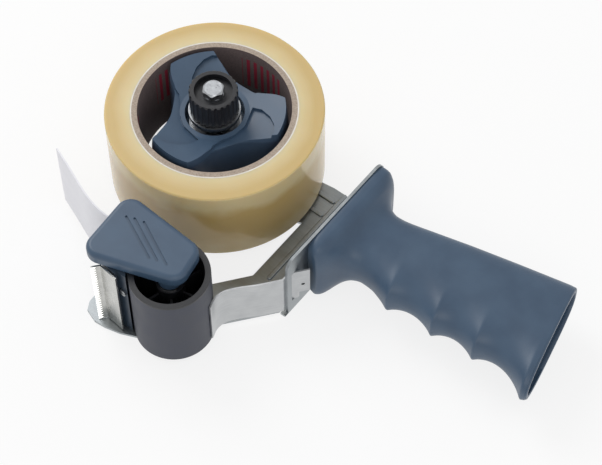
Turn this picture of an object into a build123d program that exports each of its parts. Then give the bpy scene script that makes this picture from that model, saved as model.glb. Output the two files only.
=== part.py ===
from build123d import *
from math import atan2, copysign, cos, degrees, hypot, pi, radians, sin, sqrt
import os

os.makedirs("parts", exist_ok=True)

# Lengths are in millimetres. The spindle axis is x = 0, y = 0 while the pieces are made,
# x runs along the handle, y along the wall, z up from the table.

# Clearances
run_gap = 0.05
slip_gap = 0.1
strip_samples = 24

# Tape roll
core_bore_radius = 38.6
core_board = 2.8
wrap_paper = 0.7
wound_tape = 12.9
core_radius = core_bore_radius + core_board
wrap_radius = core_radius + wrap_paper
tape_radius = wrap_radius + wound_tape
tape_width = 48.0
roll_floor = 4.0
roll_top = roll_floor + tape_width
tape_edge_round = 0.8

# Sheet steel frame
sheet = 1.5
wall_face_x = 83.0
wall_height = 45.0
wall_y_low = -47.0
wall_y_high = 30.0
wall_corner_round = 6.0
wall_foot = 4.5
wall_bend_outer = 1.2
relief_width = 3.2
relief_length = 2.2
strip_x = 55.5
arm_disc_radius = 19.0
arm_y_low = -1.0
arm_y_high = 26.0
# The strip of the plate that runs from the arm round the roller, then back along its near edge.
strip_far_edge = ((55.5, -40.7), (31.0, -72.0), (6.0, -88.0), (0.7, -98.0), (0.9, -102.0), (3.4, -106.6))
strip_near_edge = (
    (10.3, -109.0), (16.4, -108.5), (24.5, -106.6), (33.0, -103.0), (47.0, -97.0), (60.3, -72.1),
)
strip_wall_y = -48.8
axle_pad_radius = 17.0
bead_x = 63.0
bead_width = 2.4
bead_height = 0.9
bead_y_low = -38.0
bead_y_high = 26.0
arm_rib_ys = (8.8, 18.8)
arm_rib_x_low = 46.0
arm_rib_x_high = 61.4
dish_radius = 13.0
dish_slope = 4.0
dish_rise = 4.5
dish_wall = 0.9

# Three lobed hub
hub_lobes = 3
hub_first_angle = 147.5
hub_tip_inset = 3.1
hub_tip_top_radius = core_bore_radius - hub_tip_inset
hub_tip_top = 53.0
hub_centre_top = 49.6
hub_shoulder_drop = 5.0
hub_shoulder_out = 0.6
hub_skirt_z = 8.0
hub_bottom = 2.3
hub_lip_radius = core_bore_radius + 2.0
hub_lip_width = 16.0
hub_wall = 2.4
hub_barrel_radius = 9.5
hub_rib_sheet = 1.8
hub_lead_angle = 20.0
hub_trail_angle = 17.5
lobe_pocket_depth = 1.8
# Radius and angle past the lobe centre of the hollow flank, at the top, at the shoulder and at the skirt.
top_flank = ((28.0, 29.5), (21.4, 40.0), (18.6, 55.0), (18.9, 72.0), (22.4, 87.0), (28.2, 96.0))
shoulder_flank = ((30.5, 29.0), (24.2, 39.0), (21.8, 55.0), (21.9, 72.0), (25.4, 86.0), (31.0, 95.0))
skirt_flank = ((33.0, 29.0), (28.4, 39.0), (26.4, 55.0), (26.6, 72.0), (29.4, 85.0), (33.6, 94.0))
# Radius and angle round the lowered swirl on the trailing side of a lobe.
swirl_pocket = (
    (19.0, 17.0), (23.5, 11.0), (28.0, 1.0), (31.3, -8.0), (33.2, -16.0), (33.0, -24.0), (45.0, -30.0),
    (45.0, -60.0), (36.0, -80.0), (28.4, -87.0), (21.0, -80.0), (18.0, -66.0), (17.6, -45.0), (17.6, -20.0),
    (17.6, 5.0),
)

# Spindle stack
bolt_radius = 3.0
bolt_head_flats = 10.0
bolt_head_height = 4.0
bolt_head_chamfer = 1.0
bolt_end_chamfer = 0.5
bolt_thread_bottom = 0.8
sleeve_radius = 6.0
lock_nut_height = 3.2
washer_sheet = 1.0
thrust_radius = 11.0
recess_depth = 9.6
recess_floor = hub_centre_top - recess_depth
recess_radius = 15.0
recess_land = 2.5
friction_sheet = 1.5
pressure_sheet = 1.2
cup_radius = 13.1
cup_sheet = 0.8
cup_skirt = 2.2
spring_room = 8.5
spring_low = recess_floor + friction_sheet + pressure_sheet
cup_top = spring_low + spring_room + cup_sheet
spring_wire = 1.6
spring_mean_radius = 8.4
spring_turns = 3.5
knob_lift = 0.6
knob_height = 14.8
knob_bottom = cup_top + knob_lift
knob_top = knob_bottom + knob_height
knob_radius = 12.2
knob_edge_chamfer = 0.6
knob_flutes = 24
knob_flute_radius = 1.0
knob_flute_out = 0.35
knob_disc_radius = 9.6
knob_disc_depth = 3.2
knob_disc_floor = knob_top - knob_disc_depth
insert_radius = 5.0
head_washer_radius = 5.2
bolt_head_top = knob_disc_floor + washer_sheet + bolt_head_height

# Guide roller
roller_radius = 19.8
roller_side_x = 23.7
roller_side_y = -106.6
roller_x = roller_side_x + roller_radius
roller_y = roller_side_y + roller_radius
sleeve_skin = 1.2
roller_wall = 1.7
roller_bottom = 2.5
roller_top = 50.0
roller_rim = 1.0
axle_radius = 3.0
axle_top = 53.8
axle_chamfer = 0.5
axle_shoulder_radius = 6.5
bushing_radius = 5.0
bushing_length = 9.0
roller_boss_radius = 7.0
roller_boss_top = 43.0
roller_ribs = 6
roller_rib_turn = 12.0
roller_rib_sheet = 1.2
roller_rib_top = 38.0
roller_web = 1.8
roller_web_lift = 4.0
clip_sheet = 0.8
clip_radius = 6.0
clip_groove = 0.5
clip_mouth = 4.4

# Roller leaf
leaf_sheet = 0.8
leaf_z_low = 4.0
leaf_z_high = 32.5
leaf_touch_angles = (13.0, 24.0)
leaf_path = ((1.64, 33.4), (4.63, 39.7), (9.56, 42.9), (17.4, 44.1))
leaf_join = (76.0, -54.2)
leaf_fold_y = -48.2
leaf_roller_gap = 0.2
tab_z_low = 9.0
tab_z_high = 32.4
leaf_turn_y = -43.4
slot_turn_gap = 0.5
slot_length = 3.5
tab_reach = (6.6, 8.1)
tab_corner = 5.0
tab_hole_radius = 0.9

# Head bracket, guard cap, blade
bracket_top = 50.5
bracket_roller_gap = 1.1
bracket_arc_angles = (-134.9, -145.0, -160.0, -175.0, -190.0, -200.0)
bracket_nose = ((10.4, -98.4), (12.4, -100.3), (15.0, -100.5))
bracket_pad_x_low = 15.0
bracket_pad_x_high = 23.2
rear_face = ((11.0, -78.0), (19.5, -75.6))
bracket_flank = (9.0, -87.0)
post_spots = ((14.0, -95.0), (16.0, -81.5))
post_radius = 2.5
post_height = 4.2
post_wall = 1.6
bracket_screw_spots = ((15.5, -94.0), (17.5, -82.5))
bracket_screw_radius = 1.5
bracket_screw_head = 3.0
bracket_screw_reach = 12.0
driver_slot = 0.7
cap_top = 57.5
cap_corners = ((1.0, -66.2), (50.0, -69.3), (53.9, -90.7), (3.9, -107.2))
cap_corner_round = 7.5
cap_round = 2.6
cap_low_round = 0.8
cap_skin = 2.2
cap_roof = 2.8
cap_boss_radius = 6.0
cap_boss_drop = 5.5
cap_boss_cover = 1.2
cap_grooves = (((9.5, -78.0), (34.3, -89.7)), ((13.4, -76.4), (38.2, -88.5)), ((18.2, -75.2), (43.1, -87.5)))
groove_width = 1.2
groove_depth = 0.7
blade_sheet = 0.8
blade_z_low = 2.2
blade_z_high = 49.4
tooth_pitch = 1.9
tooth_depth = 3.4
blade_path = ((25.2, -104.0), (14.2, -102.7), (11.0, -106.6))
clamp_bolt_radius = 1.25
clamp_bolt_z = 35.5
clamp_bolt_spot = (26.4, -101.6)
clamp_bolt_flats = 3.8
clamp_bolt_head = 1.2
clamp_bolt_length = 2.4
clamp_bolt_slot = 0.6

# Flap
flap_sheet = 0.8
flap_z_low = 3.0
flap_z_high = 48.0
flap_start = 0.2
flap_root_length = 8.4
flap_path = ((-1.6, -78.9), (-12.0, -77.6), (-23.5, -73.8), (-35.5, -68.8), (-48.0, -63.9))
flap_tip_way = (-25.0, 9.5)
clamp_sheet = 1.2
clamp_inset = 1.5
clamp_start = 0.6
clamp_length = 8.2
rivet_radius = 1.5
rivet_along = 4.4
rivet_depth = 4.0
rivet_brim = 1.2
rivet_head = 0.9
rivet_zs = (12.0, 33.3)

# Handle
handle_mid_z = 22.5
handle_wall = 2.4
handle_web_x = 87.0
section_middle = -23.0
section_points = 32
butt_lean = 0.212
# Station x, low y, high y, half height, squareness of the low and high side, share of the lean.
flange_stations = (
    (83.0, -31.2, 30.0, 21.8, 9.0, 9.0, 0.0),
    (84.6, -31.8, 30.0, 22.0, 9.0, 9.0, 0.0),
    (87.2, -32.7, 30.0, 21.9, 8.0, 8.0, 0.0),
    (89.4, -33.0, 29.4, 21.2, 6.0, 6.0, 0.0),
    (91.6, -31.6, 27.4, 19.8, 5.0, 5.0, 0.0),
    (93.7, -27.6, 23.8, 17.4, 4.0, 4.4, 0.08),
    (96.3, -23.4, 20.4, 15.1, 3.4, 3.8, 0.2),
    (99.6, -20.8, 18.0, 13.8, 2.8, 3.4, 0.35),
    (104.0, -19.6, 17.2, 13.2, 2.4, 3.2, 0.6),
    (109.0, -20.0, 17.6, 12.8, 2.4, 3.1, 0.85),
    (113.5, -21.4, 18.4, 12.6, 2.5, 3.1, 0.95),
    (117.2, -23.0, 19.25, 12.5, 2.7, 3.1, 1.0),
    (118.8, -23.8, 19.65, 12.5, 2.85, 3.1, 1.0),
    (120.3, -24.6, 20.0, 12.5, 3.0, 3.1, 1.0),
)
# Ridge x, low y, high y and half height, then the depth of the finger groove that ends at the ridge.
ridge_stations = (
    (120.3, -24.6, 20.0, 12.5, 0.0),
    (146.0, -23.4, 26.2, 12.6, 4.2),
    (169.6, -22.0, 31.3, 12.8, 4.0),
    (199.0, -25.6, 37.3, 13.0, 6.0),
)
butt_station = (202.5, -24.6, 37.8, 12.9, 2.4, 3.0, 1.0)
groove_steps = 6
ridge_square = 3.0
groove_square = 2.2
high_square = 3.1
handle_screw_ys = (-14.0, 12.0)
handle_screw_radius = 2.0
handle_screw_head = 4.0
handle_screw_head_height = 2.5
handle_screw_length = 14.0
handle_boss_radius = 4.6
handle_boss_length = 12.0


def cylinder(radius, z_low, z_high, x=0.0, y=0.0):
    return Pos(x, y, z_low) * extrude(Circle(radius), amount=z_high - z_low)


def tube(radius, bore, z_low, z_high, x=0.0, y=0.0):
    return cylinder(radius, z_low, z_high, x, y) - cylinder(bore, z_low - 1, z_high + 1, x, y)


def plan_face(points):
    return make_face(Polyline(*points, close=True))


def slab(points, z_low, z_high):
    return Pos(0, 0, z_low) * extrude(plan_face(points), amount=z_high - z_low)


def box(x_low, x_high, y_low, y_high, z_low, z_high):
    centre = Pos((x_low + x_high) / 2, (y_low + y_high) / 2, (z_low + z_high) / 2)
    return centre * Box(x_high - x_low, y_high - y_low, z_high - z_low)


def unit(dx, dy):
    length = hypot(dx, dy)
    return (dx / length, dy / length)


def bent_strip(points, start_way, end_way, thickness, z_low, z_high):
    # A smooth upright strip. The points are on its left face, seen along the path.
    left = Spline(*points, tangents=(start_way, end_way))
    right_points = []
    for step in range(strip_samples + 1):
        spot = left @ (step / strip_samples)
        way = left % (step / strip_samples)
        right_points.append((spot.X + way.Y * thickness, spot.Y - way.X * thickness))
    right = Spline(*right_points, tangents=(start_way, end_way))
    face = make_face([left, Line(left @ 1, right @ 1), right, Line(right @ 0, left @ 0)])
    return Pos(0, 0, z_low) * extrude(face, amount=z_high - z_low)


def folded_strip(points, thickness, z_low, z_high):
    # An upright strip with crisp folds, its left face on the points.
    ways = [unit(b[0] - a[0], b[1] - a[1]) for a, b in zip(points, points[1:])]
    right = []
    for number, point in enumerate(points):
        before = ways[max(number - 1, 0)]
        after = ways[min(number, len(ways) - 1)]
        nx = (before[1] + after[1]) / 2
        ny = -(before[0] + after[0]) / 2
        scale = thickness / (nx * nx + ny * ny)
        right.append((point[0] + nx * scale, point[1] + ny * scale))
    return slab(points + right[::-1], z_low, z_high)


def polar(radius, angle):
    return (radius * cos(radians(angle)), radius * sin(radians(angle)))


def frame_plan():
    blend = 0.4
    inner_x = wall_face_x - wall_foot + blend
    arm = [(-4, arm_disc_radius - blend), (strip_x, arm_y_high), (inner_x, arm_y_high)]
    arm += [(inner_x, arm_y_low), (strip_x, arm_y_low), (4, blend - arm_disc_radius)]
    strip = [(strip_x, arm_y_high), *strip_far_edge, *strip_near_edge]
    strip += [(inner_x, strip_wall_y), (inner_x, arm_y_high)]
    plan = plan_face(arm) + plan_face(strip) + Circle(arm_disc_radius)
    return plan + Pos(roller_x, roller_y) * Circle(axle_pad_radius)


def bead(x_low, x_high, y_low, y_high):
    # A raised bead with a rounded crest on the sheet.
    length = max(x_high - x_low, y_high - y_low)
    turn = 90 if y_high > y_low else 0
    stadium = Rot(0, 0, turn) * SlotOverall(length, bead_width)
    rise = Pos(0, 0, sheet / 2) * extrude(stadium, amount=sheet / 2 + bead_height)
    rise = fillet(rise.edges().group_by(Axis.Z)[-1], bead_height * 0.6)
    return Pos((x_low + x_high) / 2, (y_low + y_high) / 2, 0) * rise


def dish_solid(radius_out, floor, crest):
    # The round rise under the spindle, wider by radius_out, from floor to crest.
    edge = dish_radius + radius_out
    profile = Polyline((0, floor), (edge + dish_slope, floor), (edge, crest), (0, crest), close=True)
    return revolve(Plane.XZ * make_face(profile), Axis.Z)


def bent_wall():
    wall = box(wall_face_x - sheet, wall_face_x, wall_y_low, wall_y_high, 0, wall_height)
    corners = wall.edges().filter_by(Axis.X).sort_by(Axis.Z)[-2:]
    wall = fillet(corners, wall_corner_round)
    wall += box(wall_face_x - wall_foot, wall_face_x, wall_y_low, wall_y_high, 0, sheet)
    relief_x = wall_face_x - relief_width
    return wall + box(relief_x, wall_face_x, wall_y_low - relief_length, wall_y_low, 0, sheet)


def make_frame():
    body = extrude(frame_plan(), amount=sheet) + bent_wall()
    corner = body.edges().filter_by(Axis.Y).filter_by_position(Axis.X, wall_face_x - 0.1, wall_face_x + 0.1)
    body = fillet(corner.filter_by_position(Axis.Z, -0.1, 0.1), wall_bend_outer)
    body += bead(bead_x, bead_x, bead_y_low, bead_y_high)
    for rib_y in arm_rib_ys:
        body += bead(arm_rib_x_low, arm_rib_x_high, rib_y, rib_y)
    body = body + dish_solid(dish_wall, sheet, dish_top()) - dish_solid(0, 0, dish_rise)
    body -= cylinder(bolt_radius + run_gap, -1, dish_top() + 1)
    body -= cylinder(axle_radius, -1, sheet + 1, roller_x, roller_y)
    slot_low = leaf_turn_y - slot_turn_gap
    body -= box(wall_face_x - sheet - 1, wall_face_x + 1, slot_low, slot_low + slot_length,
                tab_z_low - slip_gap, tab_z_high + slip_gap)
    for screw_y in handle_screw_ys:
        hole = Rot(0, 90, 0) * Cylinder(handle_screw_radius + slip_gap, 4 * sheet)
        body -= Pos(wall_face_x, screw_y, handle_mid_z) * hole
    for x, y in bracket_screw_spots:
        body -= countersunk_shape(x, y)
    return body


def countersunk_shape(x, y):
    head = Pos(x, y, sheet / 2) * Cone(bracket_screw_head, bracket_screw_radius, sheet)
    return head + cylinder(bracket_screw_radius, 0, sheet + 0.01, x, y)


def make_bracket_screws():
    screws = []
    for x, y in bracket_screw_spots:
        shank = cylinder(bracket_screw_radius, sheet / 2, bracket_screw_reach, x, y)
        reach = bracket_screw_head + 1
        slot = box(x - reach, x + reach, y - driver_slot / 2, y + driver_slot / 2, -1, driver_slot)
        screws.append(countersunk_shape(x, y) + shank - slot)
    return Compound(children=screws)


def hexagon(flats, height, low):
    return Pos(0, 0, low) * extrude(RegularPolygon(flats / 2, 6, major_radius=False), amount=height)


def make_spindle_bolt():
    head_low = bolt_head_top - bolt_head_height
    crown = cylinder(bolt_head_flats * 0.55, head_low, bolt_head_top)
    crown = chamfer(crown.edges().sort_by(Axis.Z)[-1], bolt_head_chamfer)
    head = hexagon(bolt_head_flats, bolt_head_height, head_low) & crown
    shank = cylinder(bolt_radius, bolt_thread_bottom, head_low)
    return head + chamfer(shank.edges().sort_by(Axis.Z)[0], bolt_end_chamfer)


def make_head_washer():
    return tube(head_washer_radius, bolt_radius + run_gap, knob_disc_floor, knob_disc_floor + washer_sheet)


def dish_top():
    return dish_rise + sheet


def make_thrust_washer():
    return tube(thrust_radius, bolt_radius + run_gap, dish_top(), dish_top() + washer_sheet)


def sleeve_low():
    return dish_top() + washer_sheet


def make_spindle_sleeve():
    return tube(sleeve_radius, bolt_radius + run_gap, sleeve_low(), spring_low)


def make_lock_nut():
    nut = hexagon(bolt_head_flats, lock_nut_height, dish_rise - lock_nut_height)
    return nut - cylinder(bolt_radius, -1, dish_rise + 1)


def make_friction_disc():
    return tube(cup_radius, sleeve_radius + slip_gap, recess_floor, recess_floor + friction_sheet)


def make_pressure_plate():
    return tube(cup_radius, sleeve_radius + slip_gap, spring_low - pressure_sheet, spring_low)


def make_brake_spring():
    height = spring_room - spring_wire
    path = Helix(pitch=height / spring_turns, height=height, radius=spring_mean_radius)
    coil = sweep(Plane(origin=path @ 0, z_dir=path % 0) * Circle(spring_wire / 2), path=path)
    return Pos(0, 0, spring_low + spring_wire / 2) * coil


def make_spring_cup():
    lid = tube(cup_radius, bolt_radius + slip_gap, cup_top - cup_sheet, cup_top)
    skirt = tube(cup_radius, cup_radius - cup_sheet, cup_top - cup_skirt, cup_top)
    return fillet((lid + skirt).edges().sort_by(Axis.Z)[-1:], cup_sheet / 2)


def make_knob():
    body = cylinder(knob_radius, knob_bottom, knob_top)
    body = chamfer(body.edges().sort_by(Axis.Z)[-1], knob_edge_chamfer)
    for number in range(knob_flutes):
        x, y = polar(knob_radius + knob_flute_out, number * 360 / knob_flutes)
        body -= cylinder(knob_flute_radius, knob_bottom - 1, knob_top + 1, x, y)
    body -= cylinder(knob_disc_radius, knob_disc_floor, knob_top + 1)
    return body - cylinder(insert_radius, knob_bottom - 1, knob_top + 1)


def make_knob_insert():
    return tube(insert_radius, bolt_radius + run_gap, cup_top, knob_disc_floor)


def hub_outline(tip_radius, flank, inset):
    # One closed outline of three tips joined by hollow flanks, drawn in by inset.
    radius = tip_radius - inset
    lead = hub_lead_angle - degrees(inset / tip_radius)
    trail = hub_trail_angle - degrees(inset / tip_radius)
    edges = []
    for number in range(hub_lobes):
        turn = hub_first_angle + 120 * number
        left = polar(radius, turn + lead)
        edges.append(ThreePointArc(polar(radius, turn - trail), polar(radius, turn), left))
        way = [polar(r - inset, turn + angle) for r, angle in flank]
        edges.append(Spline(left, *way, polar(radius, turn + 120 - trail)))
    return make_face(edges)


def hub_block(inset, top):
    shoulder_radius = hub_tip_top_radius + hub_shoulder_out
    skirt_radius = core_bore_radius - slip_gap
    stages = [
        Pos(0, 0, top) * hub_outline(hub_tip_top_radius, top_flank, inset),
        Pos(0, 0, top - hub_shoulder_drop) * hub_outline(shoulder_radius, shoulder_flank, inset),
        Pos(0, 0, hub_skirt_z) * hub_outline(skirt_radius, skirt_flank, inset),
    ]
    skirt = Pos(0, 0, hub_bottom) * hub_outline(skirt_radius, skirt_flank, inset)
    return loft(stages, ruled=True) + extrude(skirt, amount=hub_skirt_z - hub_bottom)


def hub_top_cutter(drop):
    # All that lies above the dished top, which rises from the centre ring to the tips, lowered by drop.
    land = recess_radius + recess_land
    roof = hub_tip_top + 6
    rim = hub_tip_top_radius + 1
    low = hub_centre_top - drop
    high = hub_tip_top - drop
    points = ((0, roof), (0, low), (land, low), (rim, high), (rim + 20, high), (rim + 20, roof))
    return revolve(Plane.XZ * plan_face(points), Axis.Z)


def hub_lobe_details(turn):
    # The lip that the roll sits on and the rib under one lobe, then the lowered swirl beside it.
    half = hub_lip_width / 2
    reach = hub_lip_radius + 5
    lip = tube(hub_lip_radius, core_bore_radius - 3, hub_bottom, roll_floor)
    lip &= box(0, reach, -half, half, 0, reach)
    rib = box(hub_barrel_radius - 1, hub_tip_top_radius - 2, -hub_rib_sheet / 2, hub_rib_sheet / 2,
              hub_skirt_z, recess_floor - 1)
    swirl = slab([polar(radius, angle) for radius, angle in swirl_pocket], recess_floor, hub_tip_top + 5)
    swirl &= hub_top_cutter(lobe_pocket_depth)
    return Rot(0, 0, turn) * (lip + rib), Rot(0, 0, turn) * swirl


def make_hub():
    block = hub_block(0.0, hub_tip_top) - hub_top_cutter(0.0)
    ceiling = hub_centre_top - hub_wall - lobe_pocket_depth
    inside = hub_block(hub_wall, ceiling)
    barrel = cylinder(recess_radius + hub_wall, recess_floor - hub_wall, hub_tip_top)
    barrel += cylinder(hub_barrel_radius, sleeve_low() + run_gap, recess_floor)
    block = block - (inside - barrel)
    for number in range(hub_lobes):
        added, swirl = hub_lobe_details(hub_first_angle + 120 * number)
        block = block + added - swirl
    block -= cylinder(recess_radius, recess_floor, hub_tip_top + 5)
    block -= cylinder(sleeve_radius + run_gap, -1, hub_tip_top)
    clear_radius = dish_radius + 2 * dish_slope
    return block - cylinder(clear_radius, -1, sleeve_low() + run_gap)


def make_tape_core():
    return tube(core_radius, core_bore_radius, roll_floor, roll_top)


def make_core_wrap():
    return tube(wrap_radius, core_radius, roll_floor, roll_top)


def make_tape():
    body = tube(tape_radius, wrap_radius, roll_floor, roll_top)
    outer = [edge for edge in body.edges().filter_by(GeomType.CIRCLE) if edge.radius > tape_radius - 1]
    return fillet(outer, tape_edge_round)


def on_roller(shape):
    return Pos(roller_x, roller_y, 0) * shape


def make_roller_sleeve():
    bore = roller_radius - sleeve_skin
    return on_roller(tube(roller_radius, bore, roller_bottom, roller_top - roller_rim))


def make_roller_body():
    inner = roller_radius - sleeve_skin
    bore = inner - roller_wall
    body = tube(inner, bore, roller_bottom, roller_top)
    body += tube(roller_radius, bore, roller_top - roller_rim, roller_top)
    body += tube(roller_boss_radius, bushing_radius, roller_bottom, roller_boss_top)
    overlap = 0.3
    web_low = roller_bottom + roller_web_lift
    body += tube(bore + overlap, roller_boss_radius - overlap, web_low, web_low + roller_web)
    rib = box(roller_boss_radius - overlap, bore + overlap, -roller_rib_sheet / 2, roller_rib_sheet / 2,
              web_low, roller_rib_top)
    for number in range(roller_ribs):
        body += Rot(0, 0, number * 360 / roller_ribs + roller_rib_turn) * rib
    return on_roller(body)


def make_roller_bushings():
    low = tube(bushing_radius, axle_radius + run_gap, roller_bottom, roller_bottom + bushing_length)
    high = tube(bushing_radius, axle_radius + run_gap, roller_boss_top - bushing_length, roller_boss_top)
    return Compound(children=[on_roller(low), on_roller(high)])


def make_roller_axle():
    pin = cylinder(axle_radius, 0, axle_top)
    pin = chamfer(pin.edges().sort_by(Axis.Z)[-1], axle_chamfer)
    groove = tube(axle_radius + 1, axle_radius - clip_groove, roller_boss_top + run_gap,
                  roller_boss_top + run_gap + clip_sheet)
    return on_roller(pin - groove)


def make_roller_washer():
    return on_roller(tube(axle_shoulder_radius, axle_radius, sheet, roller_bottom - run_gap))


def make_roller_clip():
    low = roller_boss_top + run_gap
    ring = tube(clip_radius, axle_radius - clip_groove, low, low + clip_sheet)
    mouth = box(0, clip_radius + 1, -clip_mouth / 2, clip_mouth / 2, low - 1, low + 2)
    return on_roller(ring - mouth)


def roller_spot(radius, angle):
    x, y = polar(radius, angle)
    return (roller_x + x, roller_y + y)


def make_roller_leaf():
    touch = roller_radius + leaf_roller_gap
    inside_x = wall_face_x - sheet - leaf_sheet
    fold = (inside_x, leaf_fold_y)
    way = unit(fold[0] - leaf_join[0], fold[1] - leaf_join[1])
    path = [roller_spot(touch, angle) for angle in leaf_touch_angles]
    path += [roller_spot(roller_radius + away, angle) for away, angle in leaf_path]
    path.append(leaf_join)
    start = radians(leaf_touch_angles[0])
    leaf = bent_strip(path, (-sin(start), cos(start)), way, leaf_sheet, leaf_z_low, leaf_z_high)
    leaf += folded_strip([leaf_join, fold, (inside_x, leaf_turn_y)], leaf_sheet, leaf_z_low, leaf_z_high)
    tip = (inside_x + tab_reach[0], leaf_turn_y + tab_reach[1])
    tab_path = [(inside_x, leaf_turn_y - 2 * leaf_sheet), (inside_x, leaf_turn_y), tip]
    tab = folded_strip(tab_path, leaf_sheet, tab_z_low, tab_z_high)
    corner_x = tip[0] - tab_reach[0] / 2
    tab -= box(corner_x, tip[0] + 2, leaf_turn_y, tip[1] + 2, tab_z_low - 1, tab_z_low + tab_corner)
    mark = Pos((inside_x + 2 * tip[0]) / 3, (leaf_turn_y + 2 * tip[1]) / 3, (tab_z_low + tab_z_high) / 2)
    mark *= Rot(0, 0, degrees(atan2(tab_reach[1], tab_reach[0]))) * Rot(90, 0, 0)
    return leaf + (tab - mark * Cylinder(tab_hole_radius, 6 * leaf_sheet))


def bracket_plan():
    arc = [roller_spot(roller_radius + bracket_roller_gap, angle) for angle in bracket_arc_angles]
    pad = [(x, landing_back(x)) for x in (bracket_pad_x_low, bracket_pad_x_high)]
    pad.append((bracket_pad_x_high, clamp_bolt_spot[1]))
    return [*bracket_nose, *pad, *arc, rear_face[1], rear_face[0], bracket_flank]


def rear_way():
    return unit(rear_face[1][0] - rear_face[0][0], rear_face[1][1] - rear_face[0][1])


def on_rear_face(along, away):
    way = rear_way()
    x, y = rear_face[0]
    return (x + way[0] * along - way[1] * away, y + way[1] * along + way[0] * away)


def make_head_bracket():
    body = slab(bracket_plan(), sheet, bracket_top)
    for x, y in post_spots:
        body += cylinder(post_radius, bracket_top, bracket_top + post_height, x, y)
    for x, y in bracket_screw_spots:
        body -= cylinder(bracket_screw_radius, 0, bracket_screw_reach, x, y)
    body -= clamp_bolt_turned(cylinder(clamp_bolt_radius, -clamp_bolt_length - 0.5, 1))
    for z in rivet_zs:
        body -= rivet_shank(z)
    return body


def clamp_bolt_turned(shape):
    x, y = clamp_bolt_spot
    return Pos(x, y, clamp_bolt_z) * Rot(90, 0, 0) * shape


def make_clamp_bolt():
    head = hexagon(clamp_bolt_flats, clamp_bolt_head, 0)
    slot_floor = clamp_bolt_head / 2
    head -= box(-clamp_bolt_flats, clamp_bolt_flats, -clamp_bolt_slot / 2, clamp_bolt_slot / 2, slot_floor, 3)
    return clamp_bolt_turned(head + cylinder(clamp_bolt_radius, -clamp_bolt_length, slot_floor))


def at_rivet(z, shape):
    x, y = on_rear_face(rivet_along, 0)
    way = rear_way()
    return Pos(x, y, z) * Rot(0, 0, degrees(atan2(way[1], way[0])) + 180) * Rot(90, 0, 0) * shape


def rivet_shank(z):
    return at_rivet(z, cylinder(rivet_radius, -rivet_depth, clamp_sheet + flap_sheet))


def make_flap_rivets():
    face = clamp_sheet + flap_sheet
    rivets = [rivet_shank(z) + at_rivet(z, cylinder(rivet_radius + rivet_brim, face, face + rivet_head))
              for z in rivet_zs]
    return Compound(children=rivets)


def make_flap_clamp():
    near = flap_sheet
    far = flap_sheet + clamp_sheet
    corners = [on_rear_face(clamp_start, near), on_rear_face(clamp_length, near)]
    corners += [on_rear_face(clamp_length, far), on_rear_face(clamp_start, far)]
    plate = slab(corners, flap_z_low + clamp_inset, flap_z_high - clamp_inset)
    for z in rivet_zs:
        plate -= rivet_shank(z)
    return plate


def make_flap():
    # The flap leaves the rear face of the bracket and curls away from the roll.
    start = on_rear_face(flap_root_length, flap_sheet)
    root = on_rear_face(flap_start, flap_sheet)
    tip_way = unit(*flap_tip_way)
    back = (-tip_way[0], -tip_way[1])
    free = bent_strip([*flap_path[::-1], root], back, rear_way(), flap_sheet, flap_z_low, flap_z_high)
    body = free + folded_strip([root, start], flap_sheet, flap_z_low, flap_z_high)
    for z in rivet_zs:
        body -= rivet_shank(z)
    return body


def landing_back(x):
    # The y of the back face of the landing plate.
    (x_end, y_end), (x_fold, y_fold) = blade_path[:2]
    slope = (y_end - y_fold) / (x_end - x_fold)
    return y_end + slope * (x - x_end) + blade_sheet * sqrt(1 + slope * slope)


def make_blade():
    body = folded_strip(list(blade_path), -blade_sheet, blade_z_low, blade_z_high)
    fold, tip = blade_path[1:]
    way = unit(fold[0] - tip[0], fold[1] - tip[1])
    plane = Plane(origin=(tip[0], tip[1], blade_z_low), x_dir=(way[0], way[1], 0), z_dir=(way[1], -way[0], 0))
    teeth = int((blade_z_high - blade_z_low) / tooth_pitch)
    pitch = (blade_z_high - blade_z_low) / teeth
    saw = [(-2, 0)]
    for number in range(teeth):
        saw += [(0, number * pitch), (tooth_depth, (number + 0.5) * pitch)]
    saw += [(0, teeth * pitch), (-2, teeth * pitch)]
    cutter = extrude(plane * make_face(Polyline(*saw, close=True)), amount=2, both=True)
    return body - cutter


def cap_face(inset):
    face = fillet(plan_face(cap_corners).vertices(), cap_corner_round)
    return offset(face, -inset) if inset else face


def cap_groove(start, end):
    way = degrees(atan2(end[1] - start[1], end[0] - start[0]))
    length = hypot(end[0] - start[0], end[1] - start[1])
    place = Pos((start[0] + end[0]) / 2, (start[1] + end[1]) / 2, cap_top - groove_depth)
    return place * Rot(0, 0, way) * extrude(SlotOverall(length, groove_width), amount=groove_depth + 1)


def make_guard_cap():
    cap = Pos(0, 0, bracket_top) * extrude(cap_face(0), amount=cap_top - bracket_top)
    cap = fillet(cap.edges().group_by(Axis.Z)[-1], cap_round)
    cap = fillet(cap.edges().group_by(Axis.Z)[0], cap_low_round)
    depth = cap_top - bracket_top - cap_roof
    hollow = Pos(0, 0, bracket_top - 1) * extrude(cap_face(cap_skin), amount=depth + 1)
    boss_top = cap_top - cap_boss_cover
    boss = cylinder(cap_boss_radius, bracket_top - cap_boss_drop, boss_top, roller_x, roller_y)
    for x, y in post_spots:
        boss += cylinder(post_radius + post_wall, bracket_top, boss_top, x, y)
    cap = (cap - hollow) + boss
    for x, y in post_spots:
        cap -= cylinder(post_radius, bracket_top - 1, bracket_top + post_height, x, y)
    bore_low = bracket_top - 2 * cap_boss_drop
    cap -= cylinder(axle_radius + slip_gap, bore_low, axle_top + slip_gap, roller_x, roller_y)
    for start, end in cap_grooves:
        cap -= cap_groove(start, end)
    return cap


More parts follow.
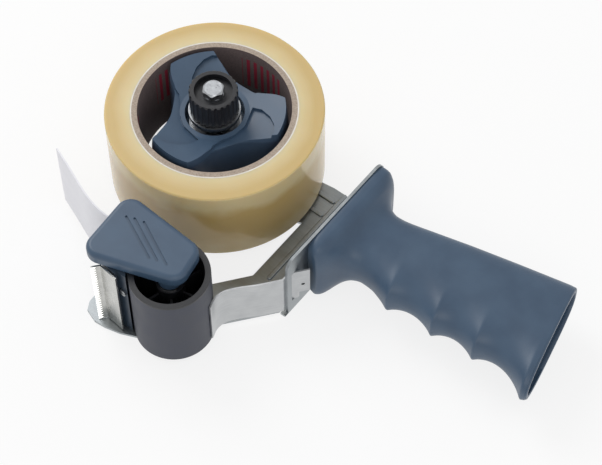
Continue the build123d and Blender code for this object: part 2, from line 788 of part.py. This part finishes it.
def handle_section(station, inset):
    # A rounded section of the grip, squarer or rounder on its low and high side, leaning with the butt.
    x, y_low, y_high, half, low_square, high_square_here, lean = station
    middle = (min(y_low, section_middle) + y_high) / 2
    points = []
    for number in range(section_points):
        angle = 2 * pi * (number + 0.5) / section_points
        across = cos(angle)
        up = sin(angle)
        square = high_square_here if across > 0 else low_square
        wide = (y_high - middle if across > 0 else middle - y_low) - inset
        y = middle + copysign(wide * abs(across) ** (2 / square), across)
        z = handle_mid_z + copysign((half - inset) * abs(up) ** (2 / square), up)
        points.append((x - y * butt_lean * lean, y, z))
    return make_face(Spline(*points, periodic=True))


def groove_stations(before, after):
    # Stations of one finger groove between two ridges.
    stations = []
    for step in range(groove_steps + 1):
        share = step / groove_steps
        x, y_low, y_high, half = [a + (b - a) * share for a, b in zip(before[:4], after[:4])]
        bow = 4 * share * (1 - share)
        y_low += after[4] * bow ** 0.8
        low_square = ridge_square + (groove_square - ridge_square) * bow
        stations.append((x, y_low, y_high, half, low_square, high_square, 1.0))
    return stations


def grip_solid(first_stations, inset):
    body = loft([handle_section(station, inset) for station in first_stations])
    for before, after in zip(ridge_stations, ridge_stations[1:]):
        body += loft([handle_section(station, inset) for station in groove_stations(before, after)])
    last_ridge = groove_stations(*ridge_stations[-2:])[-1]
    return body + loft([handle_section(station, inset) for station in (last_ridge, butt_station)])


def make_handle():
    outer = grip_solid(flange_stations, 0)
    inner = grip_solid([station for station in flange_stations if station[0] > handle_web_x], handle_wall)
    past_butt = (butt_station[0] + 5, *butt_station[1:])
    inner += loft([handle_section(station, handle_wall) for station in (butt_station, past_butt)])
    body = outer - inner
    for y in handle_screw_ys:
        boss = Rot(0, 90, 0) * Cylinder(handle_boss_radius, handle_boss_length)
        body += Pos(wall_face_x + handle_boss_length / 2 + 1, y, handle_mid_z) * boss
    for y in handle_screw_ys:
        hole = Rot(0, 90, 0) * Cylinder(handle_screw_radius + run_gap, 2 * (handle_screw_length - sheet))
        body -= Pos(wall_face_x, y, handle_mid_z) * hole
    return body


def make_handle_screws():
    screws = []
    slot = 1.0
    depth = 1.0
    low = -handle_screw_head_height
    for y in handle_screw_ys:
        head = fillet(cylinder(handle_screw_head, low, 0).edges().sort_by(Axis.Z)[0], depth)
        head -= box(-2.4, 2.4, -slot / 2, slot / 2, low - 1, low + depth)
        head -= box(-slot / 2, slot / 2, -2.4, 2.4, low - 1, low + depth)
        shank = cylinder(handle_screw_radius, low / 2, handle_screw_length - 1)
        screws.append(Pos(wall_face_x - sheet, y, handle_mid_z) * Rot(0, 90, 0) * (head + shank))
    return Compound(children=screws)


def main():
    parts = {
        "frame": make_frame(),
        "bracket_screws": make_bracket_screws(),
        "spindle_bolt": make_spindle_bolt(),
        "head_washer": make_head_washer(),
        "thrust_washer": make_thrust_washer(),
        "spindle_sleeve": make_spindle_sleeve(),
        "lock_nut": make_lock_nut(),
        "friction_disc": make_friction_disc(),
        "pressure_plate": make_pressure_plate(),
        "brake_spring": make_brake_spring(),
        "spring_cup": make_spring_cup(),
        "knob": make_knob(),
        "knob_insert": make_knob_insert(),
        "hub": make_hub(),
        "tape_core": make_tape_core(),
        "core_wrap": make_core_wrap(),
        "tape": make_tape(),
        "roller_sleeve": make_roller_sleeve(),
        "roller_body": make_roller_body(),
        "roller_bushings": make_roller_bushings(),
        "roller_axle": make_roller_axle(),
        "roller_washer": make_roller_washer(),
        "roller_clip": make_roller_clip(),
        "roller_leaf": make_roller_leaf(),
        "head_bracket": make_head_bracket(),
        "guard_cap": make_guard_cap(),
        "blade": make_blade(),
        "clamp_bolt": make_clamp_bolt(),
        "flap": make_flap(),
        "flap_clamp": make_flap_clamp(),
        "flap_rivets": make_flap_rivets(),
        "handle": make_handle(),
        "handle_screws": make_handle_screws(),
    }
    boxes = [shape.bounding_box() for shape in parts.values()]
    shift_x = -(min(b.min.X for b in boxes) + max(b.max.X for b in boxes)) / 2
    shift_y = -(min(b.min.Y for b in boxes) + max(b.max.Y for b in boxes)) / 2
    shift_z = -min(b.min.Z for b in boxes)
    print("shift", shift_x, shift_y, shift_z)
    for name, shape in parts.items():
        export_step(Pos(shift_x, shift_y, shift_z) * shape, f"parts/{name}.step")


main()
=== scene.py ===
import math

import bpy
import numpy as np
from mathutils import Matrix, Vector


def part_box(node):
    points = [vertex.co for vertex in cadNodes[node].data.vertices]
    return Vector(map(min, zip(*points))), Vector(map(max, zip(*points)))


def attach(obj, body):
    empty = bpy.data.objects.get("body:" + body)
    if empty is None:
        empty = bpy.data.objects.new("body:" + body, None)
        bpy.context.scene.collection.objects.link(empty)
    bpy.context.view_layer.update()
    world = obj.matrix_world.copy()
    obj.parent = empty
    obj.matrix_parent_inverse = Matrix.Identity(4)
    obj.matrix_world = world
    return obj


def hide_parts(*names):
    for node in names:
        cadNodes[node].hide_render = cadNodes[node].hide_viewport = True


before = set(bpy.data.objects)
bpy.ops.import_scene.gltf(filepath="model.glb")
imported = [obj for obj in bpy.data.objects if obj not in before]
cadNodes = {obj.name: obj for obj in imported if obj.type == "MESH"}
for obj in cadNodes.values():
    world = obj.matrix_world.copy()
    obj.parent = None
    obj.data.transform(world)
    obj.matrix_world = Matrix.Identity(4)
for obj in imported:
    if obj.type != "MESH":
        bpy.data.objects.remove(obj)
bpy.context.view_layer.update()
mm = 0.001
print("frame loaded, nodes:", len(cadNodes))


def linearColour(hexText):  # sRGB hex text to linear RGBA
    shades = [int(hexText[i:i + 2], 16) / 255 for i in (1, 3, 5)]
    return tuple(s / 12.92 if s <= 0.04045 else ((s + 0.055) / 1.055) ** 2.4 for s in shades) + (1.0,)


def addNode(tree, kind, feeds=None, **settings):  # adds a node, sets it and links what feeds it
    node = tree.nodes.new(kind)
    for name, value in settings.items():
        setattr(node, name, value)
    for socket, value in (feeds or {}).items():
        if isinstance(value, bpy.types.NodeSocket):
            tree.links.new(value, node.inputs[socket])
        else:
            node.inputs[socket].default_value = value
    return node


def startMaterial(name):
    material = bpy.data.materials.new(name)
    material.use_nodes = True
    tree = material.node_tree
    tree.nodes.clear()
    return material, tree, addNode(tree, "ShaderNodeTexCoord").outputs["Object"]


def endMaterial(tree, shader):
    addNode(tree, "ShaderNodeOutputMaterial", {"Surface": shader.outputs[0]})


def colourSteps(tree, factor, steps):  # a colour ramp from (position, hex) pairs
    node = addNode(tree, "ShaderNodeValToRGB", {"Fac": factor})
    ramp = node.color_ramp
    while len(ramp.elements) < len(steps):
        ramp.elements.new(0.5)
    for element, (position, hexText) in zip(ramp.elements, steps):
        element.position = position
        element.color = linearColour(hexText)
    return node.outputs["Color"]


# Moulded ABS, satin with a fine spark-eroded grain: an even tone with a soft, broken sheen.
def mouldedAbs(name, look):
    material, tree, place = startMaterial(name)
    cloud = addNode(tree, "ShaderNodeTexNoise", {"Vector": place, "Scale": 1 / (look["cloud"] * mm), "Detail": 3.0})
    tone = colourSteps(tree, cloud.outputs["Fac"], [(0.3, look["deep"]), (0.7, look["pale"])])
    gloss = addNode(tree, "ShaderNodeMapRange", {"Value": cloud.outputs["Fac"], "From Min": 0.3, "From Max": 0.7,
                                                 "To Min": look["smooth"], "To Max": look["rough"]})
    grain = addNode(tree, "ShaderNodeTexNoise", {"Vector": place, "Scale": 1 / (look["grain"] * mm), "Detail": 2.0})
    bump = addNode(tree, "ShaderNodeBump", {"Height": grain.outputs["Fac"], "Strength": look["relief"],
                                            "Distance": 0.1 * mm})
    shader = addNode(tree, "ShaderNodeBsdfPrincipled", {
        "Base Color": tone, "Roughness": gloss.outputs[0], "IOR": 1.53, "Normal": bump.outputs["Normal"]})
    endMaterial(tree, shader)
    return material


# Zinc plated sheet steel: a grey metal with a faint spangle and drawn lines along one way.
def platedSheet(name, look):
    material, tree, place = startMaterial(name)
    stretch = addNode(tree, "ShaderNodeMapping", {"Vector": place, "Scale": look["lines"]})
    lines = addNode(tree, "ShaderNodeTexNoise", {"Vector": stretch.outputs[0], "Scale": 1.0, "Detail": 4.0})
    cloud = addNode(tree, "ShaderNodeTexNoise", {"Vector": place, "Scale": 1 / (look["cloud"] * mm), "Detail": 2.0})
    blend = addNode(tree, "ShaderNodeMath", {0: lines.outputs["Fac"], 1: cloud.outputs["Fac"]}, operation="ADD")
    half = addNode(tree, "ShaderNodeMath", {0: blend.outputs[0], 1: 0.5}, operation="MULTIPLY")
    tone = colourSteps(tree, half.outputs[0], [(0.35, look["deep"]), (0.65, look["pale"])])
    gloss = addNode(tree, "ShaderNodeMapRange", {"Value": half.outputs[0], "From Min": 0.35, "From Max": 0.65,
                                                 "To Min": look["smooth"], "To Max": look["rough"]})
    bump = addNode(tree, "ShaderNodeBump", {"Height": lines.outputs["Fac"], "Strength": look["relief"],
                                            "Distance": 0.05 * mm})
    shader = addNode(tree, "ShaderNodeBsdfPrincipled", {
        "Base Color": tone, "Metallic": 1.0, "Roughness": gloss.outputs[0], "Normal": bump.outputs["Normal"]})
    endMaterial(tree, shader)
    return material


# Wound film: clear amber layers, glossy, with faint wrinkles round the roll and pale, ringed cut edges.
def tapeFilm(name, look):
    material, tree, place = startMaterial(name)
    centred = addNode(tree, "ShaderNodeMapping", {"Vector": place, "Location": look["centre"]})
    split = addNode(tree, "ShaderNodeSeparateXYZ", {0: centred.outputs[0]})
    squares = [addNode(tree, "ShaderNodeMath", {0: split.outputs[i], 1: 2.0}, operation="POWER").outputs[0]
               for i in (0, 1)]
    total = addNode(tree, "ShaderNodeMath", {0: squares[0], 1: squares[1]}, operation="ADD")
    radius = addNode(tree, "ShaderNodeMath", {0: total.outputs[0]}, operation="SQRT")
    ringPlace = addNode(tree, "ShaderNodeCombineXYZ", {0: radius.outputs[0]})
    rings = addNode(tree, "ShaderNodeTexNoise", {"Vector": ringPlace.outputs[0], "Scale": 1 / (0.7 * mm), "Detail": 3.0})
    wide = addNode(tree, "ShaderNodeTexNoise", {"Vector": place, "Scale": 1 / (26 * mm), "Detail": 2.0})
    outward = addNode(tree, "ShaderNodeMapRange", {"Value": radius.outputs[0], "From Min": 42 * mm, "From Max": 55 * mm})
    mixRings = addNode(tree, "ShaderNodeMath", {0: rings.outputs["Fac"], 1: 0.12, 2: outward.outputs[0]},
                       operation="MULTIPLY_ADD")
    cloudy = addNode(tree, "ShaderNodeMath", {0: wide.outputs["Fac"], 1: 0.5, 2: mixRings.outputs[0]},
                     operation="MULTIPLY_ADD")
    side = colourSteps(tree, cloudy.outputs[0], [(0.2, look["edgePale"]), (1.0, look["edgeDeep"])])
    turn = addNode(tree, "ShaderNodeMath", {0: split.outputs[1], 1: split.outputs[0]}, operation="ARCTAN2")
    wrapPlace = addNode(tree, "ShaderNodeCombineXYZ", {0: turn.outputs[0], 1: split.outputs[2]})
    wrapScale = addNode(tree, "ShaderNodeMapping", {"Vector": wrapPlace.outputs[0], "Scale": (3.0, 60.0, 1.0)})
    streak = addNode(tree, "ShaderNodeTexNoise", {"Vector": wrapScale.outputs[0], "Scale": 1.0, "Detail": 2.0})
    rise = addNode(tree, "ShaderNodeMapRange", {"Value": split.outputs[2], "From Min": 4 * mm, "From Max": 52 * mm})
    tint = addNode(tree, "ShaderNodeMath", {0: streak.outputs["Fac"], 1: 0.35, 2: rise.outputs[0]},
                   operation="MULTIPLY_ADD")
    face = colourSteps(tree, tint.outputs[0], [(0.12, look["facePale"]), (0.45, look["faceDeep"]),
                                               (0.85, look["faceDeep"]), (1.0, look["facePale"])])
    normal = addNode(tree, "ShaderNodeNewGeometry")
    upright = addNode(tree, "ShaderNodeSeparateXYZ", {0: normal.outputs["Normal"]})
    flat = addNode(tree, "ShaderNodeMath", {0: upright.outputs[2]}, operation="ABSOLUTE")
    isSide = addNode(tree, "ShaderNodeMapRange", {"Value": flat.outputs[0], "From Min": 0.4, "From Max": 0.7})
    tone = addNode(tree, "ShaderNodeMix", {0: isSide.outputs[0], 6: face, 7: side}, data_type="RGBA")
    rough = addNode(tree, "ShaderNodeMapRange", {"Value": isSide.outputs[0], "To Min": 0.16, "To Max": 0.42})
    height = addNode(tree, "ShaderNodeMix", {0: isSide.outputs[0], 2: streak.outputs["Fac"], 3: rings.outputs["Fac"]})
    bump = addNode(tree, "ShaderNodeBump", {"Height": height.outputs[0], "Strength": 0.2, "Distance": 0.1 * mm})
    shader = addNode(tree, "ShaderNodeBsdfPrincipled", {
        "Base Color": tone.outputs[2], "Roughness": rough.outputs[0], "IOR": 1.49, "Subsurface Weight": 0.35,
        "Subsurface Radius": (1.0, 0.7, 0.35), "Subsurface Scale": 6 * mm, "Normal": bump.outputs["Normal"]})
    endMaterial(tree, shader)
    return material


# Wound paperboard core: grey brown inside with a spiral seam and a generic stripe print, paler at its cut edge.
def coreBoard(name, look):
    material, tree, place = startMaterial(name)
    fibre = addNode(tree, "ShaderNodeTexNoise", {"Vector": place, "Scale": 1 / (0.9 * mm), "Detail": 4.0})
    inside = colourSteps(tree, fibre.outputs["Fac"], [(0.3, look["insideDeep"]), (0.7, look["insidePale"])])
    edge = colourSteps(tree, fibre.outputs["Fac"], [(0.3, look["edgeDeep"]), (0.7, look["edgePale"])])
    centred = addNode(tree, "ShaderNodeMapping", {"Vector": place, "Location": look["centre"]})
    split = addNode(tree, "ShaderNodeSeparateXYZ", {0: centred.outputs[0]})
    turn = addNode(tree, "ShaderNodeMath", {0: split.outputs[1], 1: split.outputs[0]}, operation="ARCTAN2")
    waves = []
    for count, level in ((look["bars"], 0.1), (look["groups"], -0.1)):  # bars round the core, then gaps between groups
        times = addNode(tree, "ShaderNodeMath", {0: turn.outputs[0], 1: count}, operation="MULTIPLY")
        wave = addNode(tree, "ShaderNodeMath", {0: times.outputs[0]}, operation="SINE")
        waves.append(addNode(tree, "ShaderNodeMapRange", {"Value": wave.outputs[0], "From Min": level,
                                                          "From Max": level + 0.1}).outputs[0])
    bar = addNode(tree, "ShaderNodeMath", {0: waves[0], 1: waves[1]}, operation="MULTIPLY")
    ends = [addNode(tree, "ShaderNodeMapRange", {"Value": split.outputs[2], "From Min": low * mm, "From Max": high * mm})
            for low, high in look["band"]]
    band = addNode(tree, "ShaderNodeMath", {0: ends[0].outputs[0], 1: ends[1].outputs[0]}, operation="MULTIPLY")
    printed = addNode(tree, "ShaderNodeMath", {0: band.outputs[0], 1: bar.outputs[0]}, operation="MULTIPLY")
    inked = addNode(tree, "ShaderNodeMix", {0: printed.outputs[0], 6: inside, 7: linearColour(look["ink"])},
                    data_type="RGBA")
    normal = addNode(tree, "ShaderNodeNewGeometry")
    upright = addNode(tree, "ShaderNodeSeparateXYZ", {0: normal.outputs["Normal"]})
    flat = addNode(tree, "ShaderNodeMath", {0: upright.outputs[2]}, operation="ABSOLUTE")
    isEdge = addNode(tree, "ShaderNodeMapRange", {"Value": flat.outputs[0], "From Min": 0.4, "From Max": 0.7})
    tone = addNode(tree, "ShaderNodeMix", {0: isEdge.outputs[0], 6: inked.outputs[2], 7: edge}, data_type="RGBA")
    bump = addNode(tree, "ShaderNodeBump", {"Height": fibre.outputs["Fac"], "Strength": 0.5, "Distance": 0.1 * mm})
    shader = addNode(tree, "ShaderNodeBsdfPrincipled", {
        "Base Color": tone.outputs[2], "Roughness": 0.82, "IOR": 1.45, "Normal": bump.outputs["Normal"]})
    endMaterial(tree, shader)
    return material


coreLow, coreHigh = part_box("tape_core")
spindle = (coreLow + coreHigh) / 2  # a point on the spindle axis, in metres
rollCentre = (-spindle.x, -spindle.y, 0.0)

gripAbs = mouldedAbs("Moulded ABS blue grey", {
    "deep": "#3b5067", "pale": "#42586f", "cloud": 14, "grain": 0.35, "smooth": 0.34, "rough": 0.42, "relief": 0.25})
# Painted shade: the blue-grey ABS made darker for the head bracket, which is the same plastic as the guard cap but
# sits in shade. The flap clamp takes this darker copy too.
shadeDarkenedAbs = mouldedAbs("Moulded ABS blue grey with painted shade", {
    "deep": "#2a3745", "pale": "#303e4d", "cloud": 10, "grain": 0.35, "smooth": 0.36, "rough": 0.46, "relief": 0.25})
blackNylon = mouldedAbs("Moulded nylon black", {
    "deep": "#17181c", "pale": "#202126", "cloud": 8, "grain": 0.3, "smooth": 0.34, "rough": 0.46, "relief": 0.3})
rollerRubber = mouldedAbs("Ground nitrile rubber", {
    "deep": "#2f3340", "pale": "#383c4a", "cloud": 9, "grain": 0.25, "smooth": 0.46, "rough": 0.56, "relief": 0.4})
flapSheet = mouldedAbs("Extruded polyethylene sheet", {
    "deep": "#e4e4ea", "pale": "#ececf1", "cloud": 16, "grain": 0.5, "smooth": 0.38, "rough": 0.46, "relief": 0.1})
frameSteel = platedSheet("Zinc plated sheet steel", {
    "deep": "#9a9fa2", "pale": "#abb0b2", "cloud": 6, "lines": (90, 1400, 1400), "smooth": 0.34, "rough": 0.44,
    "relief": 0.2})
leafSteel = platedSheet("Rolled spring steel", {
    "deep": "#b4b6b8", "pale": "#c6c8c9", "cloud": 8, "lines": (120, 120, 3000), "smooth": 0.28, "rough": 0.38,
    "relief": 0.2})
brightZinc = platedSheet("Bright zinc plate", {
    "deep": "#a9acb0", "pale": "#c3c6c9", "cloud": 3, "lines": (900, 900, 900), "smooth": 0.26, "rough": 0.36,
    "relief": 0.1})
bladeSteel = platedSheet("Ground stainless blade steel", {
    "deep": "#b9b9b6", "pale": "#d0d0cc", "cloud": 5, "lines": (2400, 2400, 120), "smooth": 0.2, "rough": 0.3,
    "relief": 0.2})
bushBronze = platedSheet("Sintered bronze", {
    "deep": "#8a6c3c", "pale": "#a5854d", "cloud": 1, "lines": (2500, 2500, 2500), "smooth": 0.4, "rough": 0.55,
    "relief": 0.4})
feltFibre = mouldedAbs("Pressed friction fibre", {
    "deep": "#3b352f", "pale": "#4b443c", "cloud": 2, "grain": 0.3, "smooth": 0.8, "rough": 0.95, "relief": 0.8})
amberFilm = tapeFilm("Wound acrylic film tape", {
    "centre": rollCentre, "edgeDeep": "#cfb57c", "edgePale": "#e3d3a8", "faceDeep": "#cbae70", "facePale": "#ddcb9c"})
boardCore = coreBoard("Wound paperboard core", {
    "centre": rollCentre, "insideDeep": "#6d5f5e", "insidePale": "#7d6e6b", "edgeDeep": "#9b8c7f", "edgePale": "#b9ab9c",
    "ink": "#a02a40", "bars": 60.0, "groups": 5.0, "band": ((24.0, 24.5), (46.0, 45.5))})
wrapPaper = mouldedAbs("Bleached wrap paper", {
    "deep": "#dcd6cc", "pale": "#ece8e0", "cloud": 5, "grain": 0.3, "smooth": 0.7, "rough": 0.85, "relief": 0.5})


def addMesh(name, points, faces, look, replaced):  # one piece, its points in mm, that rides on a body
    mesh = bpy.data.meshes.new(name)
    mesh.from_pydata([tuple(p) for p in np.asarray(points, float) * mm], [], faces)
    mesh.update()
    mesh.shade_smooth()
    mesh.set_sharp_from_angle(angle=math.radians(look["sharp"]))
    mesh.materials.append(look["material"])
    piece = bpy.data.objects.new(name, mesh)
    bpy.context.scene.collection.objects.link(piece)
    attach(piece, look["body"])
    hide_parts(*replaced)


def ringFaces(rings, around):  # quads between neighbouring rings of points
    faces = []
    for ring in range(rings - 1):
        low, high = ring * around, (ring + 1) * around
        faces += [(low + i, low + (i + 1) % around, high + (i + 1) % around, high + i) for i in range(around)]
    return faces


def easeThrough(at, keys, values):  # smooth curve through key values, no overshoot
    keys, values = np.asarray(keys, float), np.asarray(values, float)
    slopes = np.diff(values) / np.diff(keys)
    product, total = slopes[1:] * slopes[:-1], slopes[1:] + slopes[:-1]
    lean = np.zeros(len(keys))
    lean[1:-1] = np.where(product > 0, 2 * product / np.where(total == 0, 1, total), 0)
    lean[0], lean[-1] = slopes[0], slopes[-1]
    i = np.clip(np.searchsorted(keys, at, side="right") - 1, 0, len(keys) - 2)
    step = keys[i + 1] - keys[i]
    t = (at - keys[i]) / step
    return ((2 * t ** 3 - 3 * t ** 2 + 1) * values[i] + (t ** 3 - 2 * t ** 2 + t) * step * lean[i]
            + (3 * t ** 2 - 2 * t ** 3) * values[i + 1] + (t ** 3 - t ** 2) * step * lean[i + 1])


grip = {
    "material": gripAbs, "body": "chassis", "slot": "blue_plastic", "sharp": 50,
    "middle": 22.5, "wall": 2.4, "lean": 0.212, "step": 0.5, "around": 120, "webX": 87.5, "cuspRound": 0.55,
    "edge": 0.9,  # round of the moulded rim at the butt
    # x, low y, high y, half height, squareness of the low and high side, share of the lean
    "flange": ((83.0, -31.2, 30.0, 21.8, 9.0, 9.0, 0.0), (84.6, -31.8, 30.0, 22.0, 9.0, 9.0, 0.0),
               (87.2, -32.7, 30.0, 21.9, 8.0, 8.0, 0.0), (89.4, -33.0, 29.4, 21.2, 6.0, 6.0, 0.0),
               (91.6, -31.6, 27.4, 19.8, 5.0, 5.0, 0.0), (93.7, -27.6, 23.8, 17.4, 4.0, 4.4, 0.08),
               (96.3, -23.4, 20.4, 15.1, 3.4, 3.8, 0.2), (99.6, -20.8, 18.0, 13.8, 2.8, 3.4, 0.35),
               (104.0, -19.6, 17.2, 13.2, 2.4, 3.2, 0.6), (109.0, -20.0, 17.6, 12.8, 2.4, 3.1, 0.85),
               (113.5, -21.4, 18.4, 12.6, 2.5, 3.1, 0.95), (117.2, -23.0, 19.25, 12.5, 2.7, 3.1, 1.0),
               (120.3, -24.6, 20.0, 12.5, 3.0, 3.1, 1.0)),
    # ridge x, low y, high y, half height, then depth of the finger groove before the ridge
    "ridges": ((120.3, -24.6, 20.0, 12.5, 0.0), (146.0, -23.4, 26.2, 12.6, 4.2), (169.6, -22.0, 31.3, 12.8, 4.0),
               (199.0, -25.6, 37.3, 13.0, 6.0)),
    "butt": (202.5, -24.6, 37.8, 12.9, 2.4, 3.0, 1.0),
    "ridgeSquare": 3.0, "grooveSquare": 2.2, "highSquare": 3.1,
}


def gripStations():
    xs = np.arange(grip["flange"][0][0], grip["butt"][0] + 1e-6, grip["step"])
    flange = np.array(grip["flange"])
    columns = [easeThrough(xs, flange[:, 0], flange[:, c]) for c in range(1, 7)]
    ridges = grip["ridges"]
    for before, after in zip(ridges, ridges[1:]):
        here = (xs > before[0]) & (xs <= after[0])
        share = (xs[here] - before[0]) / (after[0] - before[0])
        bow = 4 * share * (1 - share)
        for c in range(3):
            columns[c][here] = before[c + 1] + (after[c + 1] - before[c + 1]) * share
        columns[0][here] += after[4] * bow ** 0.8
        columns[3][here] = grip["ridgeSquare"] + (grip["grooveSquare"] - grip["ridgeSquare"]) * bow
        columns[4][here] = grip["highSquare"]
        columns[5][here] = 1.0
    last = xs > ridges[-1][0]
    share = (xs[last] - ridges[-1][0]) / (grip["butt"][0] - ridges[-1][0])
    ends = (ridges[-1][1], ridges[-1][2], ridges[-1][3], grip["ridgeSquare"], grip["highSquare"], 1.0)
    for c in range(6):
        columns[c][last] = ends[c] + (grip["butt"][c + 1] - ends[c]) * share
    reach = int(3 * grip["cuspRound"] / grip["step"]) + 1  # the ridges are rounded by a short running mean
    weights = np.exp(-0.5 * (np.arange(-reach, reach + 1) * grip["step"] / grip["cuspRound"]) ** 2)
    for c in (0, 3):
        padded = np.pad(columns[c], reach, mode="edge")
        eased = np.convolve(padded, weights / weights.sum(), mode="valid")
        columns[c] = np.where(xs > 88, eased, columns[c])
    return xs, columns


def gripRing(x, row, inset):
    low, high, half, lowSquare, highSquare, lean = row
    middle = (min(low, -23.0) + high) / 2
    angle = 2 * np.pi * (np.arange(grip["around"]) + 0.5) / grip["around"]
    across, up = np.cos(angle), np.sin(angle)
    square = np.where(across > 0, highSquare, lowSquare)
    wide = np.where(across > 0, high - middle, middle - low) - inset
    y = middle + np.sign(across) * wide * np.abs(across) ** (2 / square)
    z = grip["middle"] + np.sign(up) * (half - inset) * np.abs(up) ** (2 / square)
    return np.stack([x - y * grip["lean"] * lean + spindle.x / mm, y + spindle.y / mm, z], 1)


def makeGrip():
    xs, columns = gripStations()
    rows = np.array(columns).T
    rings = [gripRing(x, row, 0) for x, row in zip(xs, rows)][:-2]
    lastX, lastRow, edge = xs[-1], rows[-1], grip["edge"]
    for turn in np.radians((0, 22, 45, 68, 90)):
        rings.append(gripRing(lastX - edge + edge * np.sin(turn), lastRow, edge * (1 - np.cos(turn))))
    rings.append(gripRing(lastX, lastRow, grip["wall"] - 0.3))
    rings.append(gripRing(lastX - 0.3, lastRow, grip["wall"]))
    for x, row in list(zip(xs, rows))[::-1][4::2]:
        if x > grip["webX"]:
            rings.append(gripRing(x, row, grip["wall"]))
    faces = ringFaces(len(rings), grip["around"])
    last = (len(rings) - 1) * grip["around"]
    faces.append(tuple(range(grip["around"]))[::-1])
    faces.append(tuple(last + i for i in range(grip["around"])))
    addMesh("gripShell", np.concatenate(rings), [f[::-1] for f in faces], grip, ["handle"])


makeGrip()
print("grip made")


# head_bracket and flap_clamp take the darker copy of the blue-grey ABS, which carries painted shade.
finishes = {
    "handle": gripAbs, "hub": gripAbs, "guard_cap": gripAbs, "head_bracket": shadeDarkenedAbs, "flap_clamp": shadeDarkenedAbs,
    "knob": blackNylon, "roller_body": blackNylon, "roller_sleeve": rollerRubber, "flap": flapSheet,
    "frame": frameSteel, "roller_leaf": leafSteel, "roller_clip": leafSteel, "brake_spring": leafSteel,
    "spindle_bolt": brightZinc, "head_washer": brightZinc, "thrust_washer": brightZinc, "spindle_sleeve": brightZinc,
    "lock_nut": brightZinc, "pressure_plate": brightZinc, "spring_cup": brightZinc, "roller_axle": brightZinc,
    "roller_washer": brightZinc, "clamp_bolt": brightZinc, "flap_rivets": brightZinc, "handle_screws": brightZinc,
    "bracket_screws": brightZinc, "blade": bladeSteel, "roller_bushings": bushBronze, "knob_insert": bushBronze,
    "friction_disc": feltFibre, "tape": amberFilm, "tape_core": boardCore, "core_wrap": wrapPaper,
}
for nodeName, cadNode in cadNodes.items():
    cadNode.material_slots[0].link = "OBJECT"
    cadNode.material_slots[0].material = finishes[nodeName]
print("materials done:", len(finishes))

studio = {"key": 10.0, "fill": 2.5, "world": 0.66, "floor": "#f4f4f4", "floorGlow": 0.8}


def areaLamp(name, place, aim, size, power):
    data = bpy.data.lights.new(name, "AREA")
    data.shape = "DISK"
    data.size = size
    data.energy = power
    lamp = bpy.data.objects.new(name, data)
    bpy.context.scene.collection.objects.link(lamp)
    lamp.location = place
    lamp.rotation_euler = (Vector(aim) - Vector(place)).to_track_quat("-Z", "Y").to_euler()


def makeStudio():
    bpy.ops.mesh.primitive_plane_add(size=6.0, location=(0, 0, -0.0002))
    floor = bpy.context.object
    floor.name = "paleFloor"
    material, tree, _ = startMaterial("Pale studio floor")
    path = addNode(tree, "ShaderNodeLightPath")
    seen = addNode(tree, "ShaderNodeMath", {0: path.outputs["Is Camera Ray"], 1: path.outputs["Is Glossy Ray"]},
                   operation="MAXIMUM")
    share = addNode(tree, "ShaderNodeMath", {0: seen.outputs[0], 1: studio["floorGlow"]}, operation="MULTIPLY")
    paint = addNode(tree, "ShaderNodeBsdfDiffuse", {"Color": linearColour(studio["floor"])})
    glow = addNode(tree, "ShaderNodeEmission", {"Color": (1, 1, 1, 1), "Strength": 1.0})
    endMaterial(tree, addNode(tree, "ShaderNodeMixShader", {0: share.outputs[0], 1: paint.outputs[0],
                                                            2: glow.outputs[0]}))
    floor.data.materials.append(material)
    world = bpy.data.worlds.new("Studio air")
    bpy.context.scene.world = world
    world.use_nodes = True
    world.node_tree.nodes["Background"].inputs["Strength"].default_value = studio["world"]
    world.node_tree.nodes["Background"].inputs["Color"].default_value = (1, 1, 1, 1)
    areaLamp("keyLamp", (-1.15, 0.25, 1.15), (0, 0, 0.02), 1.0, studio["key"])
    areaLamp("fillLamp", (0.9, -0.8, 1.0), (0, 0, 0.02), 0.9, studio["fill"])


def makeCamera():
    data = bpy.data.cameras.new("photoCamera")
    data.sensor_width = 36.0
    data.lens = 36.0 * 2060 / 602  # focal length fitted to the roll, in photo pixels
    camera = bpy.data.objects.new("photoCamera", data)
    bpy.context.scene.collection.objects.link(camera)
    foot = Vector((spindle.x, spindle.y, 0))
    eye = foot + Vector((413.8, -450.6, 875.4)) * mm
    aim = foot + Vector((32.8, 26.6, -62.3)) * mm
    look = (aim - eye).to_track_quat("-Z", "Y")
    camera.location = eye
    camera.rotation_euler = (look.to_matrix() @ Matrix.Rotation(math.radians(-0.66), 3, "Z")).to_euler()
    bpy.context.scene.camera = camera


makeStudio()
makeCamera()
bpy.context.scene.view_settings.view_transform = "Standard"
print("studio and camera done")
